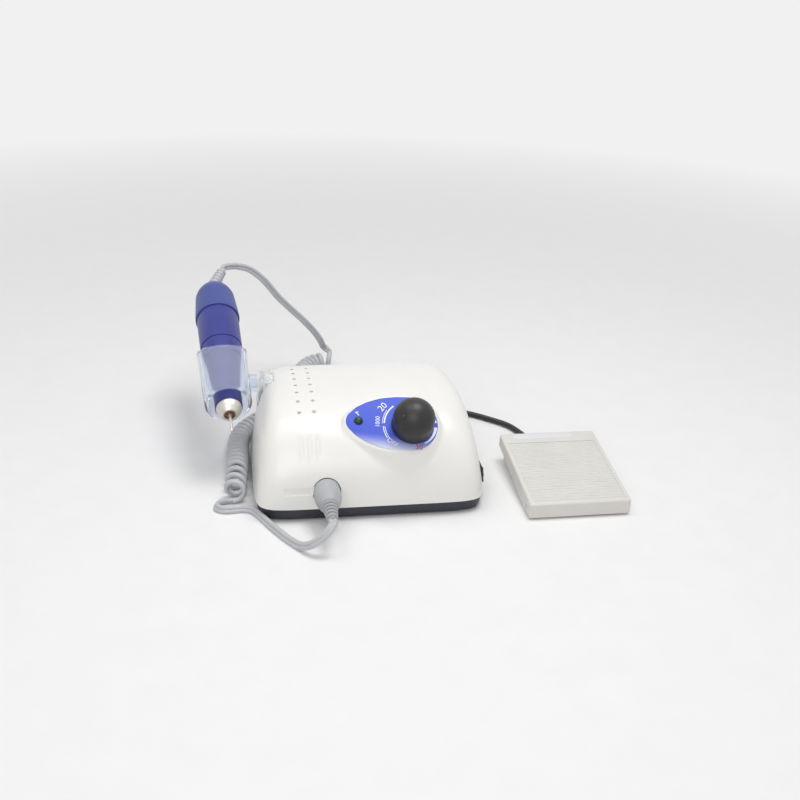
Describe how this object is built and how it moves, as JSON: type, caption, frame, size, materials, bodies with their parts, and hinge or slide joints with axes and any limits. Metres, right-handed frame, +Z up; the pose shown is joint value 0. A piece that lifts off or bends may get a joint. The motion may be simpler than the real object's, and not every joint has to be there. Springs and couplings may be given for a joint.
{
  "type": "nail drill machine",
  "caption": "Electric nail file machine: control box with a speed knob and tilting holder, handpiece on a curly cord, and a sprung foot pedal on its own cord.",
  "frame": {"origin": "on the table under the middle of the control box's footprint", "axes": "+Z up, the front of the control box looks to -Y, +X to the right where the pedal stands"},
  "size_m": [0.2775, 0.2922, 0.0997],
  "materials": {
    "white_plastic": "glossy",
    "dark_plastic": "satin",
    "black_rubber": "matte",
    "steel": "satin",
    "blue_panel": "satin",
    "lamp_green": "glossy",
    "knob_black": "satin",
    "grey_plastic": "satin",
    "board_green": "satin",
    "cap_sleeve": "satin",
    "iron_core": "satin",
    "copper_winding": "satin",
    "black_plastic": "satin",
    "clear_plastic": "clear",
    "frosted_plastic": "frosted",
    "handpiece_blue": "satin anodised",
    "nose_metal": "satin",
    "magnet_black": "matte",
    "brush_brown": "matte",
    "collet_bronze": "satin",
    "cord_grey": "satin",
    "pedal_grey": "satin",
    "pad_grey": "matte",
    "cord_black": "satin",
    "tie_white": "matte"
  },
  "bodies": {
    "root": {"upper_shell": "white_plastic", "base_tray": "dark_plastic", "rubber_feet": "black_rubber", "case_screws": "steel", "control_panel": "blue_panel", "power_lamp": "lamp_green", "pot_body": "steel", "pot_nut": "steel", "socket_body": "grey_plastic", "handpiece_plug": "grey_plastic", "circuit_board": "board_green", "filter_capacitor": "cap_sleeve", "heat_sink": "steel", "transformer_core": "iron_core", "transformer_winding": "copper_winding", "transformer_screws": "steel", "switch_housing": "black_plastic", "mains_inlet": "black_plastic", "inlet_pins": "steel", "fuse_holder": "black_plastic", "pedal_jack": "steel", "holder_bracket": "clear_plastic", "handpiece_lead": "cord_grey", "curly_cord": "cord_grey", "plug_tail": "cord_grey", "pedal_base": "pedal_grey", "pedal_feet": "black_rubber", "hinge_pin": "steel", "pedal_spring": "steel", "pedal_switch": "black_plastic", "pedal_gland": "black_rubber", "pedal_plug": "cord_black", "jack_cord": "cord_black", "pedal_coil": "cord_black", "coil_tie": "tie_white", "pedal_cord": "cord_black"},
    "knob": {"speed_knob": "knob_black", "pot_shaft": "steel"},
    "rocker": {"power_rocker": "black_plastic"},
    "cradle": {"cradle": "frosted_plastic"},
    "handpiece": {"handpiece_cap": "handpiece_blue", "handpiece_body": "handpiece_blue", "front_collar": "handpiece_blue", "metal_nose": "nose_metal", "motor_can": "steel", "motor_magnets": "magnet_black", "brush_holder": "brush_brown", "bearings": "steel", "handpiece_relief": "cord_grey"},
    "sleeve": {"twist_sleeve": "handpiece_blue"},
    "spindle": {"spindle": "steel", "rotor": "copper_winding", "collet": "collet_bronze", "bur": "steel"},
    "tread": {"pedal_tread": "pedal_grey", "tread_pad": "pad_grey"}
  },
  "joints": [
    {"name": "knob_turn", "type": "hinge", "parent": "root", "child": "knob", "pos_m": [0.0259, -0.03573, 0.05524], "axis": [0, 0.5878, -0.809], "range_deg": [0, 270]},
    {"name": "power_rock", "type": "hinge", "parent": "root", "child": "rocker", "pos_m": [0.07189, -0.0265, 0.01672], "axis": [0.1402, 0, -0.9901], "range_deg": [0, 16]},
    {"name": "cradle_tilt", "type": "hinge", "parent": "root", "child": "cradle", "pos_m": [-0.09014, 0.03, 0.0589], "axis": [1, 0, 0], "range_deg": [-25, 35], "deforming": ["handpiece_lead"]},
    {"name": "handpiece_slide", "type": "slide", "parent": "cradle", "child": "handpiece", "axis": [-0.0539, 0.9644, 0.2588], "range_m": [0, 0.08], "deforming": ["handpiece_lead"]},
    {"name": "sleeve_twist", "type": "hinge", "parent": "handpiece", "child": "sleeve", "pos_m": [-0.09216, 0.06626, 0.06863], "axis": [0.0539, -0.9644, -0.2588], "range_deg": [0, 45]},
    {"name": "spindle_spin", "type": "hinge", "parent": "handpiece", "child": "spindle", "pos_m": [-0.08879, 0.00599, 0.05246], "axis": [0.0539, -0.9644, -0.2588], "continuous": true},
    {"name": "tread_press", "type": "hinge", "parent": "root", "child": "tread", "pos_m": [0.1335, -0.059, 0.0054], "axis": [-1, 0, 0], "range_deg": [0, 5], "stiffness_Nm_per_rad": 6, "springref_deg": -2.86, "deforming": ["pedal_spring"]}
  ]
}
